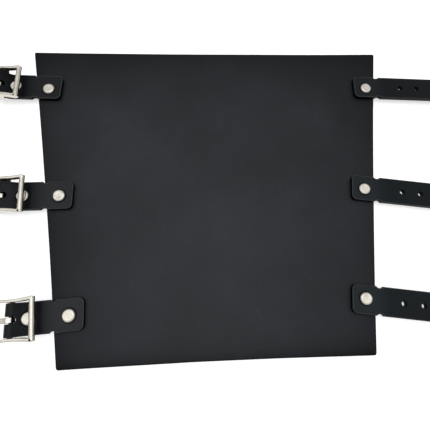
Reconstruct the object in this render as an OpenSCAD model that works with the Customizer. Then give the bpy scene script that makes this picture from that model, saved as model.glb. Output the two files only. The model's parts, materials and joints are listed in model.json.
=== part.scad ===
// Leather bracer laid out flat, outer face up: a tapered panel with three buckle straps on its
// left edge and three punched tip straps on its right edge, each held by one double-cap rivet.
// X runs towards the tip straps, Y towards the elbow end and Z out of the outer face.
// The origin is the middle of the panel's inner face. All lengths are in millimetres.

/* [Panel] */
// Width of the panel at its elbow end
elbow_w = 267.5; // [250:0.5:290]
// Width of the panel at its wrist end
wrist_w = 191.8; // [175:0.5:215]
// Length of the panel from the elbow end to the wrist end
panel_l = 224.2; // [216:0.2:250]
// Thickness of the panel's leather
panel_t = 2.8; // [2:0.1:4]
// How far each edge of the panel bows inwards at its middle
edge_bow = 1.0; // [0:0.1:2]

/* [Rows on the buckle side] */
// Elbow end to the elbow row's rivet
elbow_buckle_row = 35.0; // [28:0.1:45]
// Elbow end to the middle row's rivet
middle_buckle_row = 117.7; // [108:0.1:128]
// Elbow end to the wrist row's rivet
wrist_buckle_row = 193.8; // [185:0.1:200]
// Side edge to the elbow row's rivet
elbow_buckle_inset = 9.6; // [8:0.1:11]
// Side edge to the middle row's rivet
middle_buckle_inset = 10.8; // [8:0.1:12]
// Side edge to the wrist row's rivet
wrist_buckle_inset = 10.9; // [8:0.1:12]
// Angle at which the elbow row's buckle strap falls towards the wrist
elbow_buckle_fall = -2.4; // [-5:0.1:4]
// Angle at which the middle row's buckle strap falls towards the wrist
middle_buckle_fall = 0.6; // [-3:0.1:6]
// Angle at which the wrist row's buckle strap falls towards the wrist
wrist_buckle_fall = 3.3; // [0:0.1:8]
// Rivet to the middle line of the elbow row's buckle strap, towards the elbow end
elbow_buckle_aside = 1.6; // [-2.5:0.1:2.5]
// Rivet to the middle line of the middle row's buckle strap, towards the elbow end
middle_buckle_aside = 0.5; // [-2.5:0.1:2.5]
// Rivet to the middle line of the wrist row's buckle strap, towards the elbow end
wrist_buckle_aside = 0.5; // [-2.5:0.1:2.5]

/* [Rows on the tip side] */
// Elbow end to the elbow row's rivet
elbow_tip_row = 34.6; // [28:0.1:45]
// Elbow end to the middle row's rivet
middle_tip_row = 116.8; // [108:0.1:128]
// Elbow end to the wrist row's rivet
wrist_tip_row = 190.4; // [185:0.1:200]
// Side edge to the elbow row's rivet
elbow_tip_inset = 8.4; // [7.5:0.1:10]
// Side edge to the middle row's rivet
middle_tip_inset = 9.2; // [7.5:0.1:10]
// Side edge to the wrist row's rivet
wrist_tip_inset = 8.1; // [7.5:0.1:10]
// Angle at which the elbow row's tip strap falls towards the wrist
elbow_tip_fall = 2.4; // [0:0.1:8]
// Angle at which the middle row's tip strap falls towards the wrist
middle_tip_fall = 7.6; // [4:0.1:11]
// Angle at which the wrist row's tip strap falls towards the wrist
wrist_tip_fall = 8.2; // [4:0.1:11]
// Rivet to the middle line of the elbow row's tip strap, towards the elbow end
elbow_tip_aside = 1.3; // [-2.5:0.1:2.5]
// Rivet to the middle line of the middle row's tip strap, towards the elbow end
middle_tip_aside = 0.7; // [-2.5:0.1:2.5]
// Rivet to the middle line of the wrist row's tip strap, towards the elbow end
wrist_tip_aside = -0.6; // [-2.5:0.1:2.5]

/* [All straps] */
// Thickness of the straps' leather
strap_t = 2.8; // [2:0.1:4]
// Rivet centre to the end of the tab on the panel
tab_l = 9.0; // [8:0.1:12]
// Radius of the tab's corners
tab_r = 3.5; // [1:0.1:6]
// Rivet centre to the middle of the waist notches
notch_at = 9.0; // [7:0.1:11]
// Length of a waist notch along the strap
notch_l = 4.4; // [3:0.1:6]
// Depth of a waist notch
notch_depth = 1.15; // [0.5:0.05:1.8]

/* [Buckle straps] */
// Width of the buckle straps
buckle_strap_w = 19.5; // [18:0.1:22]
// Panel rivet to the rivet that closes the fold
fold_rivet_at = 23.5; // [22:0.1:26]
// Fold rivet to the end of the flap turned under
flap_l = 5.0; // [4.6:0.1:8]
// Fold rivet to the crease where the eye round the bar begins
crease_l = 4.4; // [4.2:0.1:5]
// How far the eye curls up from the level of the panel's inner face
eye_lift = 2.4; // [0.5:0.1:3]
// Thickness of the leather where it is skived to go round the bar
fold_t = 2.0; // [1.6:0.1:2.8]
// Panel rivet to the centre bar in the elbow row
elbow_bar_at = 34.0; // [32.5:0.1:38]
// Panel rivet to the centre bar in the middle row
middle_bar_at = 35.8; // [32.5:0.1:38]
// Panel rivet to the centre bar in the wrist row
wrist_bar_at = 32.9; // [32.5:0.1:38]
// Clearance between the prong's loop and the round end of its slot
slot_end_clear = 1.2; // [1.2:0.1:1.6]
// Clearance on each side of the prong in its slot
slot_clear = 0.5; // [0.3:0.1:1]

/* [Tip straps] */
// Width of the tip straps
tip_strap_w = 18.3; // [16:0.1:19.5]
// Panel rivet to the point of the tip
tip_l = 130.0; // [125:1:145]
// Panel rivet to the first punched hole in the elbow row
elbow_hole_at = 27.4; // [20:0.1:28]
// Panel rivet to the first punched hole in the middle row
middle_hole_at = 26.8; // [20:0.1:28]
// Panel rivet to the first punched hole in the wrist row
wrist_hole_at = 24.4; // [20:0.1:28]
// Distance from one punched hole to the next
hole_pitch = 12.9; // [9:0.1:13.2]
// Number of punched holes in each tip strap
hole_count = 7; // [3:1:7]
// Diameter of the punched holes
hole_d = 3.5; // [3:0.1:4.5]
// Radius of the two arcs that form the point
point_r = 20.0; // [14:0.5:24]

/* [Buckles] */
// Diameter of the centre bar
bar_d = 2.6; // [2.4:0.1:3]
// Centre bar to the middle of either end bar
frame_reach = 14.0; // [13.8:0.1:16]
// Diameter of the end bars
end_bar_d = 3.3; // [2.6:0.1:3.5]
// Width of the frame over its corners
frame_end_w = 26.6; // [25.2:0.1:29]
// Width of the frame at its waist
frame_waist_w = 23.4; // [22.8:0.1:25]
// Gap between the strap and the frame's cheek on each side
cheek_clear = 0.25; // [0.2:0.05:0.6]
// Height of the cheeks at the end bars
cheek_h = 3.6; // [3.4:0.1:4]
// Metal round the centre bar in the lug below each cheek
lug_wall = 0.6; // [0.4:0.1:1]
// Half the length of the lug where it joins the cheek
lug_l = 5.5; // [4.5:0.1:8]
// Radius of the frame's corners seen from above
frame_r = 2.0; // [1:0.1:2.5]

/* [Prongs] */
// Width of the prong
prong_w = 3.2; // [2.6:0.1:3.6]
// Width of the prong at its tip
prong_tip_w = 2.4; // [1.8:0.1:2.6]
// Thickness of the prong
prong_t = 2.0; // [1.6:0.1:2.2]
// Wall of the prong's loop round the bar
loop_wall = 1.2; // [1:0.1:1.6]
// Height of the arch of the prong's shank
prong_bow = 0.7; // [0.3:0.1:1.5]
// How far the tip stands past the middle of the end bar
prong_past = 1.7; // [1:0.1:2.5]

/* [Rivets] */
// Diameter of a rivet cap
cap_d = 8.0; // [7:0.1:8]
// Height of a rivet cap
cap_h = 1.5; // [1.2:0.1:1.8]
// Height of the upright rim of a rivet cap
cap_rim = 0.5; // [0.3:0.1:0.8]
// Diameter of the rivet's post
post_d = 3.0; // [2.6:0.1:3.4]
// How deep a cap is pressed into the leather
cap_sink = 0.5; // [0.3:0.1:0.8]

/* [Clearances] */
// Gap between two faces of leather, or a cap and its leather
lap_gap = 0.1; // [0.05:0.01:0.15]
// Radial running gap of a post or bar in its hole
run_gap = 0.08; // [0.05:0.01:0.1]
// Gap round a cap in its pressed dish
dish_gap = 0.3; // [0.25:0.05:0.5]
// Gap between a bar and the piece that rests on it
rest_gap = 0.2; // [0.15:0.05:0.3]

/* [Hidden] */
$fn = 64;
ROWS = ["elbow", "middle", "wrist"];
ROW_PARTS = [
    "buckle_strap", "tip_strap", "buckle_frame", "buckle_prong",
    "buckle_side_rivet_cap", "buckle_side_rivet_post",
    "tip_side_rivet_cap", "tip_side_rivet_post",
    "fold_rivet_cap", "fold_rivet_post"
];

leather = [0.15, 0.16, 0.17];
strap_leather = [0.11, 0.12, 0.13];
nickel = [0.84, 0.82, 0.78];

buckle_row = [elbow_buckle_row, middle_buckle_row, wrist_buckle_row];
buckle_inset = [elbow_buckle_inset, middle_buckle_inset, wrist_buckle_inset];
buckle_fall = [elbow_buckle_fall, middle_buckle_fall, wrist_buckle_fall];
tip_row = [elbow_tip_row, middle_tip_row, wrist_tip_row];
tip_inset = [elbow_tip_inset, middle_tip_inset, wrist_tip_inset];
tip_fall = [elbow_tip_fall, middle_tip_fall, wrist_tip_fall];
buckle_aside = [elbow_buckle_aside, middle_buckle_aside, wrist_buckle_aside];
tip_aside = [elbow_tip_aside, middle_tip_aside, wrist_tip_aside];
bar_at = [elbow_bar_at, middle_bar_at, wrist_bar_at];
first_hole_at = [elbow_hole_at, middle_hole_at, wrist_hole_at];

// Heights of the straps that lie on the panel
strap_z = panel_t + lap_gap;
strap_top = strap_z + strap_t;

// The eye of leather round the centre bar
bar_r = bar_d / 2;
eye_r = bar_r + run_gap;
fold_r = eye_r + fold_t;
bar_z = fold_r + eye_lift;
flap_top = strap_t;
// How far the straight runs of the strap are let into the rounds of its eye
meld = 0.02;
// How far a cutting shape runs past the piece that it cuts
past = 1;

// Rivets
cap_r = cap_d / 2;
post_r = post_d / 2;
hole_r = post_r + run_gap;
dish_r = cap_r + dish_gap;
cap_seat = cap_sink - lap_gap / 2;
// Depth of the socket in a cap that the post is set into
socket_h = cap_h / 2;

// Where the two arcs of a tip strap's point begin
point_at = tip_l - sqrt(tip_strap_w * point_r - tip_strap_w * tip_strap_w / 4);

// The end bars stand high enough for a tip strap to pass between them and the strap below
end_bar_r = end_bar_d / 2;
bar_rise = strap_top + strap_t + rest_gap + end_bar_r - bar_z;
window_w = buckle_strap_w + 2 * cheek_clear;

// The prong's shank arches from the top of its loop to the top of the outer end bar
loop_r = eye_r + loop_wall;
slot_back = loop_r + slot_end_clear;
root_z = loop_r - prong_t / 2;
rest_z = bar_rise + end_bar_r + rest_gap + prong_t / 2;
prong_lean = atan2(rest_z - root_z, frame_reach);
shank_l = norm([frame_reach, rest_z - root_z]);
shank_r = (shank_l * shank_l / 4 + prong_bow * prong_bow) / (2 * prong_bow);
slot_w = prong_w + 2 * slot_clear;

// Half the panel's width at a distance from its elbow end
function half_w(row) = (elbow_w - (elbow_w - wrist_w) * row / panel_l) / 2;

// A point on an edge from a to b that bows inwards, to the right of its direction
function bowed(a, b, t) =
    let (side = [b.y - a.y, a.x - b.x] / norm(b - a))
    a + (b - a) * t + side * edge_bow * 4 * t * (1 - t);

// The panel's outline, taken clockwise from its left corner at the elbow end
edge_steps = 12;
corners = [
    [-elbow_w / 2, panel_l / 2], [elbow_w / 2, panel_l / 2],
    [wrist_w / 2, -panel_l / 2], [-wrist_w / 2, -panel_l / 2]
];
outline = [
    for (c = [0:3]) for (s = [0:edge_steps - 1])
    bowed(corners[c], corners[(c + 1) % 4], s / edge_steps)
];

// Puts its children at a row's rivet on the buckle side, with X the way the strap runs
module at_buckle_side(i) {
    translate([buckle_inset[i] - half_w(buckle_row[i]), panel_l / 2 - buckle_row[i], 0])
        rotate([0, 0, 180 + buckle_fall[i]])
            children();
}

// Puts its children at a row's rivet on the tip side, with X the way the strap runs
module at_tip_side(i) {
    translate([half_w(tip_row[i]) - tip_inset[i], panel_l / 2 - tip_row[i], 0])
        rotate([0, 0, -tip_fall[i]])
            children();
}

// Puts its children beside the rivet, with X on the buckle strap's middle line
module at_buckle_strap(i) {
    at_buckle_side(i)
        translate([0, -buckle_aside[i], 0])
            children();
}

// Puts its children beside the rivet, with X on the tip strap's middle line
module at_tip_strap(i) {
    at_tip_side(i)
        translate([0, tip_aside[i], 0])
            children();
}

// Puts its children at a row's centre bar, with X along the strap and the bar along Y
module at_bar(i) {
    at_buckle_strap(i)
        translate([bar_at[i], 0, bar_z])
            children();
}

// The hole for a rivet from z0 to z1, with a pressed dish for the cap at each end that is asked for
module rivet_hole(z0, z1, dish_low, dish_high) {
    translate([0, 0, z0 - past])
        cylinder(h = z1 - z0 + 2 * past, r = hole_r);
    if (dish_low)
        translate([0, 0, z0 - past])
            cylinder(h = past + cap_sink, r = dish_r);
    if (dish_high)
        translate([0, 0, z1 - cap_sink])
            cylinder(h = past + cap_sink, r = dish_r);
}

module panel() {
    color(leather)
        difference() {
            linear_extrude(height = panel_t)
                polygon(outline);
            for (i = [0:2]) {
                at_buckle_side(i)
                    rivet_hole(0, panel_t, true, false);
                at_tip_side(i)
                    rivet_hole(0, panel_t, true, false);
            }
        }
}

// The outline that all straps share at their tab: square edges, round corners and a waist notch
module tab_outline(length, width) {
    notch_r = (notch_l * notch_l / 4 + notch_depth * notch_depth) / (2 * notch_depth);
    difference() {
        union() {
            translate([tab_r - tab_l, -width / 2])
                square([length - tab_r + tab_l, width]);
            translate([-tab_l, tab_r - width / 2])
                square([2 * tab_r, width - 2 * tab_r]);
            for (side = [-1, 1])
                translate([tab_r - tab_l, side * (width / 2 - tab_r)])
                    circle(r = tab_r);
        }
        for (side = [-1, 1])
            translate([notch_at, side * (width / 2 + notch_r - notch_depth)])
                circle(r = notch_r);
    }
}

// The strap seen from its side: the tab's layer, the eye round the bar and the flap turned under
module fold_profile(bar_x) {
    crease_x = fold_rivet_at + crease_l;
    run = bar_x - crease_x;
    // The upper layer climbs from its crease to touch the eye from above
    climb = bar_z - strap_z;
    lean = atan2(climb, run) + asin(eye_r / norm([run, climb]));
    above = [-sin(lean), cos(lean)];
    bend_x = crease_x - strap_t * tan(lean / 2);
    // The flap climbs from its crease to touch the eye from below
    sink = bar_z - flap_top;
    tilt = atan2(sink, run) - asin(eye_r / norm([run, sink]));
    below = [sin(tilt), -cos(tilt)];
    turn_x = crease_x + strap_t * tan(tilt / 2);
    bar = [bar_x, bar_z];
    difference() {
        union() {
            polygon([
                [-tab_l, strap_z], [crease_x, strap_z], bar,
                bar + (fold_r - meld) * above, [bend_x, strap_top], [-tab_l, strap_top]
            ]);
            polygon([
                [fold_rivet_at - flap_l, 0], [turn_x, 0], bar + (fold_r - meld) * below,
                bar, [crease_x, flap_top], [fold_rivet_at - flap_l, flap_top]
            ]);
            translate(bar)
                circle(r = fold_r);
        }
        translate(bar)
            circle(r = eye_r);
        polygon([
            [crease_x, flap_top], bar + (eye_r - meld) * below, bar,
            bar + (eye_r - meld) * above, [crease_x, strap_z]
        ]);
    }
}

// The slot for the prong, which runs from the top of the strap round its fold
module prong_slot(bar_x) {
    end_x = bar_x - slot_back + slot_w / 2;
    slot_h = bar_z + fold_r + 2 * past;
    translate([end_x, 0, -past])
        cylinder(h = slot_h, d = slot_w);
    translate([end_x, -slot_w / 2, -past])
        cube([bar_x + fold_r + past - end_x, slot_w, slot_h]);
}

module buckle_strap(i) {
    bar_x = bar_at[i];
    color(strap_leather)
        at_buckle_strap(i)
            difference() {
                intersection() {
                    rotate([90, 0, 0])
                        linear_extrude(height = buckle_strap_w + 2 * past, center = true)
                            fold_profile(bar_x);
                    translate([0, 0, -past])
                        linear_extrude(height = bar_z + fold_r + 2 * past)
                            tab_outline(bar_x + fold_r + past, buckle_strap_w);
                }
                translate([0, buckle_aside[i], 0])
                    rivet_hole(strap_z, strap_top, false, true);
                translate([fold_rivet_at, 0, 0])
                    rivet_hole(0, strap_top, true, true);
                prong_slot(bar_x);
            }
}

// The pointed end of a tip strap, where two arcs meet
module point_outline() {
    intersection() {
        translate([point_at, point_r - tip_strap_w / 2])
            circle(r = point_r, $fn = 128);
        translate([point_at, tip_strap_w / 2 - point_r])
            circle(r = point_r, $fn = 128);
        translate([point_at, -tip_strap_w])
            square([2 * point_r, 2 * tip_strap_w]);
    }
}

module tip_strap(i) {
    color(strap_leather)
        at_tip_strap(i)
            difference() {
                translate([0, 0, strap_z])
                    linear_extrude(height = strap_t)
                        difference() {
                            union() {
                                tab_outline(point_at, tip_strap_w);
                                point_outline();
                            }
                            for (hole = [0:hole_count - 1])
                                translate([first_hole_at[i] + hole * hole_pitch, 0])
                                    circle(d = hole_d);
                        }
                translate([0, -tip_aside[i], 0])
                    rivet_hole(strap_z, strap_top, false, true);
            }
}

// A cheek seen from its side: a level rail with a round lug that carries the centre bar below it
module cheek_profile() {
    low = -bar_r - lug_wall;
    deep = bar_rise - cheek_h / 2 - low;
    lug_r = (lug_l * lug_l + deep * deep) / (2 * deep);
    translate([-frame_reach, bar_rise - cheek_h / 2])
        square([2 * frame_reach, cheek_h]);
    for (end = [-1, 1])
        translate([end * frame_reach, bar_rise])
            circle(d = cheek_h);
    intersection() {
        translate([0, low + lug_r])
            circle(r = lug_r);
        translate([-frame_reach, low - past])
            square([2 * frame_reach, bar_rise - low + past]);
    }
}

// The frame seen from above: round corners, waisted sides and the window for the straps
module frame_outline() {
    half_l = frame_reach + cheek_h / 2 + frame_r / 4;
    waist = (frame_end_w - frame_waist_w) / 2;
    waist_r = (half_l * half_l + waist * waist) / (2 * waist);
    difference() {
        union() {
            square([2 * half_l, frame_end_w - 2 * frame_r], center = true);
            square([2 * (half_l - frame_r), frame_end_w], center = true);
            for (x = [-1, 1], y = [-1, 1])
                translate([x * (half_l - frame_r), y * (frame_end_w / 2 - frame_r)])
                    circle(r = frame_r);
        }
        for (side = [-1, 1])
            translate([0, side * (frame_waist_w / 2 + waist_r)])
                circle(r = waist_r, $fn = 256);
        square([2 * (half_l + past), window_w], center = true);
    }
}

module buckle_frame(i) {
    bar_l = (window_w + frame_waist_w) / 2;
    color(nickel)
        at_bar(i) {
            intersection() {
                rotate([90, 0, 0])
                    linear_extrude(height = frame_end_w + 2 * past, center = true)
                        cheek_profile();
                translate([0, 0, -bar_z])
                    linear_extrude(height = 3 * bar_z)
                        frame_outline();
            }
            rotate([90, 0, 0])
                cylinder(h = bar_l, r = bar_r, center = true);
            for (end = [-1, 1])
                translate([end * frame_reach, 0, bar_rise])
                    rotate([90, 0, 0])
                        cylinder(h = bar_l, r = end_bar_r, center = true);
        }
}

// The prong seen from its side: a loop round the bar and an arched shank with a round tip
module prong_profile() {
    tip_x = shank_l + prong_past - prong_t / 2;
    tip_z = sqrt(shank_r * shank_r - (tip_x - shank_l / 2) * (tip_x - shank_l / 2));
    difference() {
        union() {
            circle(r = loop_r);
            translate([0, root_z])
                rotate([0, 0, prong_lean])
                    translate([0, prong_bow - shank_r]) {
                        intersection() {
                            translate([shank_l / 2, 0])
                                difference() {
                                    circle(r = shank_r + prong_t / 2, $fn = 256);
                                    circle(r = shank_r - prong_t / 2, $fn = 256);
                                }
                            translate([0, tip_z - prong_t])
                                square([tip_x, shank_r]);
                        }
                        translate([tip_x, tip_z])
                            circle(d = prong_t);
                    }
        }
        circle(r = eye_r);
    }
}

module buckle_prong(i) {
    far_x = frame_reach + prong_past + prong_t;
    color(nickel)
        at_bar(i)
            intersection() {
                rotate([90, 0, 0])
                    linear_extrude(height = prong_w, center = true)
                        prong_profile();
                translate([0, 0, -bar_z])
                    linear_extrude(height = 3 * bar_z)
                        polygon([
                            [-loop_r - past, -prong_w / 2], [loop_r, -prong_w / 2],
                            [far_x, -prong_tip_w / 2], [far_x, prong_tip_w / 2],
                            [loop_r, prong_w / 2], [-loop_r - past, prong_w / 2]
                        ]);
            }
}

// A domed cap with an upright rim that stands on z = 0
module dome() {
    dome_h = cap_h - cap_rim;
    dome_r = (cap_r * cap_r + dome_h * dome_h) / (2 * dome_h);
    intersection() {
        cylinder(h = cap_h, r = cap_r);
        translate([0, 0, cap_h - dome_r])
            sphere(r = dome_r, $fn = 128);
    }
}

// The upper half of a double-cap rivet, with the socket that its post is set into
module rivet_cap() {
    color(nickel)
        translate([0, 0, strap_top - cap_seat])
            difference() {
                dome();
                translate([0, 0, -past])
                    cylinder(h = past + socket_h, r = hole_r);
            }
}

// The lower half of a double-cap rivet: a back cap and the post that goes up into the cap
module rivet_post() {
    color(nickel) {
        translate([0, 0, cap_seat])
            mirror([0, 0, 1])
                dome();
        cylinder(h = strap_top - cap_seat + socket_h - lap_gap / 2, r = post_r);
    }
}

module fold_rivet_cap(i) {
    at_buckle_strap(i)
        translate([fold_rivet_at, 0, 0])
            rivet_cap();
}

module fold_rivet_post(i) {
    at_buckle_strap(i)
        translate([fold_rivet_at, 0, 0])
            rivet_post();
}

panel();
for (i = [0:2]) {
    row = ROWS[i];
    buckle_strap(i);
    tip_strap(i);
    buckle_frame(i);
    buckle_prong(i);
    at_buckle_side(i) rivet_cap();
    at_buckle_side(i) rivet_post();
    at_tip_side(i) rivet_cap();
    at_tip_side(i) rivet_post();
    fold_rivet_cap(i);
    fold_rivet_post(i);
}
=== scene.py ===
import json
import math

import bpy
import numpy as np
from bpy.props import FloatProperty, FloatVectorProperty, IntProperty, PointerProperty
from mathutils import Matrix, Vector, noise
from mathutils.geometry import delaunay_2d_cdt


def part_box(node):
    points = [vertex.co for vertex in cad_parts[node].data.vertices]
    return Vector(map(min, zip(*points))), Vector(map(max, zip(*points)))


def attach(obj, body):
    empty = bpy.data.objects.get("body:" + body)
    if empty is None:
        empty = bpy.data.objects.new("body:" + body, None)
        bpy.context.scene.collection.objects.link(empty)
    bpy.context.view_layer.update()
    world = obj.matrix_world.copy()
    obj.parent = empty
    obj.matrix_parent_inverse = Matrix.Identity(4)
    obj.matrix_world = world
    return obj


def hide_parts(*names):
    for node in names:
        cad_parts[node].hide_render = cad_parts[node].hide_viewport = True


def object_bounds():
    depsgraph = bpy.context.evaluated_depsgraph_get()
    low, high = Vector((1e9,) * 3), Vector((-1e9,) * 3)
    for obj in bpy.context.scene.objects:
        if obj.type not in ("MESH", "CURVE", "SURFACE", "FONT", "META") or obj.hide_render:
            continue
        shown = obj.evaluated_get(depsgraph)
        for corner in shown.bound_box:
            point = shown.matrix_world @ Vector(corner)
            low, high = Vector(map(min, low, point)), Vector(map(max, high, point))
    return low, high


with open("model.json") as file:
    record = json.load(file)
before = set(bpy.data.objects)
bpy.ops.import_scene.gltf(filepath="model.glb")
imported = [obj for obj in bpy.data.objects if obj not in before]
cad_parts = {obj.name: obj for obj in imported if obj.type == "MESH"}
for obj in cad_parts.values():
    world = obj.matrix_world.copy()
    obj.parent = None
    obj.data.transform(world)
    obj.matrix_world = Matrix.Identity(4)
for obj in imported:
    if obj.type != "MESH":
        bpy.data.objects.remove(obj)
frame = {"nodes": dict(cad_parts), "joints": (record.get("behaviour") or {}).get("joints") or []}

bl_info = {
    "name": "Leather Bracer",
    "version": (1, 0, 0),
    "blender": (4, 5, 0),
    "location": "3D View > Sidebar > Bracer",
    "description": "Builds a strapped leather bracer, its buckles and its rivets on a fixed frame",
    "category": "Object",
}

CAD_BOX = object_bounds()
MM = 0.001
LAP_GAP = 0.1 * MM  # between two faces of leather
RUN_GAP = 0.08 * MM  # round a bar in its loop or its fold
REST_GAP = 0.2 * MM  # between a bar and the piece that rests on it
HOLE_GAP = 0.05 * MM  # round a rivet's post
QUARTER = math.pi / 2
ROWS = ("elbow", "middle", "wrist")
JOINTS = {joint["name"]: joint for joint in frame["joints"]}


# Sizes and colours


def length_prop(name, description, size):
    """A length, given here in millimetres."""
    return FloatProperty(name=name, description=description, default=size * MM, unit="LENGTH")


def colour_prop(name, description, colour):
    return FloatVectorProperty(
        name=name, description=description, subtype="COLOR", default=colour, min=0.0, max=1.0
    )


def power_prop(name, description, power):
    """A lamp's power, in watts."""
    return FloatProperty(
        name=name, description=description, default=power, min=0.0, unit="POWER"
    )


class BracerLeather(bpy.types.PropertyGroup):
    """Sizes and colours of the panel and the straps"""

    thickness: length_prop("Thickness", "Thickness of the leather", 2.8)
    edge_round: length_prop(
        "Edge Rounding", "Radius that the edge beveller leaves along every edge", 0.6
    )
    panel_wave: length_prop(
        "Panel Wave", "Height of the soft waves across the middle of the panel", 0.3
    )
    panel_bow: length_prop(
        "Panel Bow", "How far each edge of the panel bows inwards at its middle", 1.0
    )
    tab_length: length_prop("Tab Length", "Rivet centre to the end of a strap's tab", 9.0)
    tab_corner: length_prop("Tab Corner", "Radius of the tab's two corners", 3.5)
    notch_at: length_prop("Notch Position", "Rivet centre to the middle of the waist notches", 9.0)
    notch_length: length_prop("Notch Length", "Length of a waist notch along the strap", 4.4)
    notch_depth: length_prop("Notch Depth", "Depth of a waist notch", 1.15)
    buckle_strap_width: length_prop(
        "Buckle Strap Width", "Width of the straps that carry the buckles", 19.5
    )
    tip_strap_width: length_prop(
        "Tip Strap Width", "Width of the straps with the punched holes", 18.3
    )
    fold_rivet_at: length_prop(
        "Fold Rivet Position", "Panel rivet to the rivet that closes a fold", 23.5
    )
    flap_length: length_prop("Flap Length", "Fold rivet to the end of the flap turned under", 5.0)
    fold_thickness: length_prop(
        "Fold Thickness", "Thickness of the leather where it is skived to go round the bar", 2.0
    )
    crease_length: length_prop(
        "Crease Position", "Fold rivet to the crease where the strap climbs to the bar", 4.4
    )
    slot_back: length_prop("Slot Back", "Centre bar to the back end of the prong's slot", 3.1)
    slot_width: length_prop("Slot Width", "Width of the prong's slot", 4.2)
    first_holes: FloatVectorProperty(
        name="First Holes",
        description="Panel rivet to the first punched hole in each row, elbow row first",
        default=(27.4 * MM, 26.8 * MM, 24.4 * MM),
        unit="LENGTH",
    )
    hole_pitch: length_prop("Hole Pitch", "Distance from one punched hole to the next", 12.9)
    hole_count: IntProperty(
        name="Holes",
        description="Number of punched holes in a tip strap",
        default=7,
        min=1,
    )
    hole_size: length_prop("Hole Size", "Diameter of a punched hole", 3.5)
    point_radius: length_prop("Point Radius", "Radius of the two arcs that form the point", 20.0)
    panel_colour: colour_prop(
        "Panel Colour", "Colour of the panel's grain side", (0.0225, 0.0242, 0.0282)
    )
    # The panel's grain is painted darker and less glossy toward each edge and left lit in the
    # middle: painted shade and painted sheen, standing in for a broad soft box sheen.
    edge_shade: FloatVectorProperty(
        name="Edge Darkness",
        description="How much polish is missing at the panel's buckle, tip, elbow and wrist edges",
        size=4,
        default=(0.47, 0.45, 0.55, 0.60),
        min=0.0,
        max=1.0,
    )
    # how far from each edge the painted edge shade reaches
    edge_reach: FloatVectorProperty(
        name="Edge Reach",
        description="How far from those edges the polish comes back",
        size=4,
        default=(17.0 * MM, 36.0 * MM, 35.0 * MM, 4.5 * MM),
        unit="LENGTH",
    )
    buckle_strap_colour: colour_prop(
        "Buckle Strap Colour", "Colour of the buckle straps' grain side", (0.0026, 0.0034, 0.0048)
    )
    tip_strap_colour: colour_prop(
        "Tip Strap Colour", "Colour of the tip straps' grain side", (0.0040, 0.0050, 0.0066)
    )
    flesh_colour: colour_prop(
        "Flesh Colour", "Colour of the dyed flesh side", (0.030, 0.029, 0.028)
    )


class BracerMetal(bpy.types.PropertyGroup):
    """Sizes and colours of the buckles and the rivets"""

    bar_size: length_prop("Centre Bar", "Diameter of the bar inside the strap's fold", 2.6)
    end_bar_size: length_prop("End Bars", "Diameter of the keeper bar and the outer bar", 3.4)
    end_bar_rise: length_prop("End Bar Rise", "Height of the end bars above the centre bar", 4.57)
    reach: length_prop("Reach", "Centre bar to the middle of either end bar", 14.0)
    end_width: length_prop("End Width", "Width of the frame over its corners", 26.6)
    waist_width: length_prop("Waist Width", "Width of the frame at its waist", 23.4)
    window_width: length_prop(
        "Window Width", "Width of the window that the straps pass through", 20.0
    )
    cheek_height: length_prop("Cheek Height", "Height of the frame's two cheeks", 3.5)
    corner_radius: length_prop(
        "Corner Radius", "Radius of the frame's corners seen from above", 2.2
    )
    cheek_thickness: length_prop(
        "Cheek Thickness", "Thickness of the two cheeks seen from above", 2.1
    )
    skew: FloatProperty(
        name="Skew",
        description="Angle by which the end bars stand askew on the strap",
        default=math.radians(3.0),
        subtype="ANGLE",
    )
    lug_length: length_prop(
        "Lug Length", "Half the length of the lug that carries the centre bar", 5.5
    )
    prong_width: length_prop("Prong Width", "Width of the prong at its loop", 3.2)
    prong_tip_width: length_prop("Prong Tip", "Width of the prong at its tip", 2.4)
    loop_wall: length_prop("Loop Wall", "Thickness of the prong's loop round the centre bar", 0.75)
    prong_thickness: length_prop("Prong Thickness", "Thickness of the prong's shank", 2.0)
    cap_size: length_prop("Cap Size", "Diameter of a rivet cap", 8.2)
    cap_height: length_prop("Cap Height", "Height of a rivet cap", 1.5)
    cap_sink: length_prop("Cap Sink", "How deep a cap is pressed into the leather", 0.5)
    post_size: length_prop("Post Size", "Diameter of a rivet's post", 3.0)
    nickel_colour: colour_prop(
        "Nickel Colour", "Colour of the nickel plating", (0.63, 0.60, 0.535)
    )


class BracerStage(bpy.types.PropertyGroup):
    """The floor, the light and the camera"""

    floor_colour: colour_prop("Floor Colour", "Colour of the floor", (0.72, 0.72, 0.72))
    sky: FloatProperty(
        name="Sky", description="Strength of the even light from above", default=1.4, min=0.0
    )
    soft_box: power_prop("Soft Box", "Power of the soft box", 1.0)
    strip_light: power_prop(
        "Strip Light", "Power of the strip light that draws a line on the bars", 0.5
    )
    lens: FloatProperty(
        name="Lens",
        description="Focal length on a 36 mm sensor",
        default=26.449,
        min=1.0,
        unit="CAMERA",
    )


# Outlines


def arc(centre, radius, start, end, step=0.45 * MM):
    """Points on an arc from one angle to another, in radians, both ends kept."""
    count = max(3, math.ceil(abs(end - start) * radius / step))
    return [
        (
            centre[0] + radius * math.cos(start + (end - start) * k / count),
            centre[1] + radius * math.sin(start + (end - start) * k / count),
        )
        for k in range(count + 1)
    ]


def line(a, b, step=1.2 * MM):
    """Points on a line, without its first point."""
    count = max(1, math.ceil(math.dist(a, b) / step))
    return [
        (a[0] + (b[0] - a[0]) * k / count, a[1] + (b[1] - a[1]) * k / count)
        for k in range(1, count + 1)
    ]


def join(*runs):
    """One closed loop from several runs of points, with no point twice."""
    loop = []
    for run in runs:
        for point in run:
            if not loop or math.dist(loop[-1], point) > 0.02 * MM:
                loop.append(point)
    if math.dist(loop[0], loop[-1]) < 0.02 * MM:
        loop.pop()
    return loop


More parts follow.
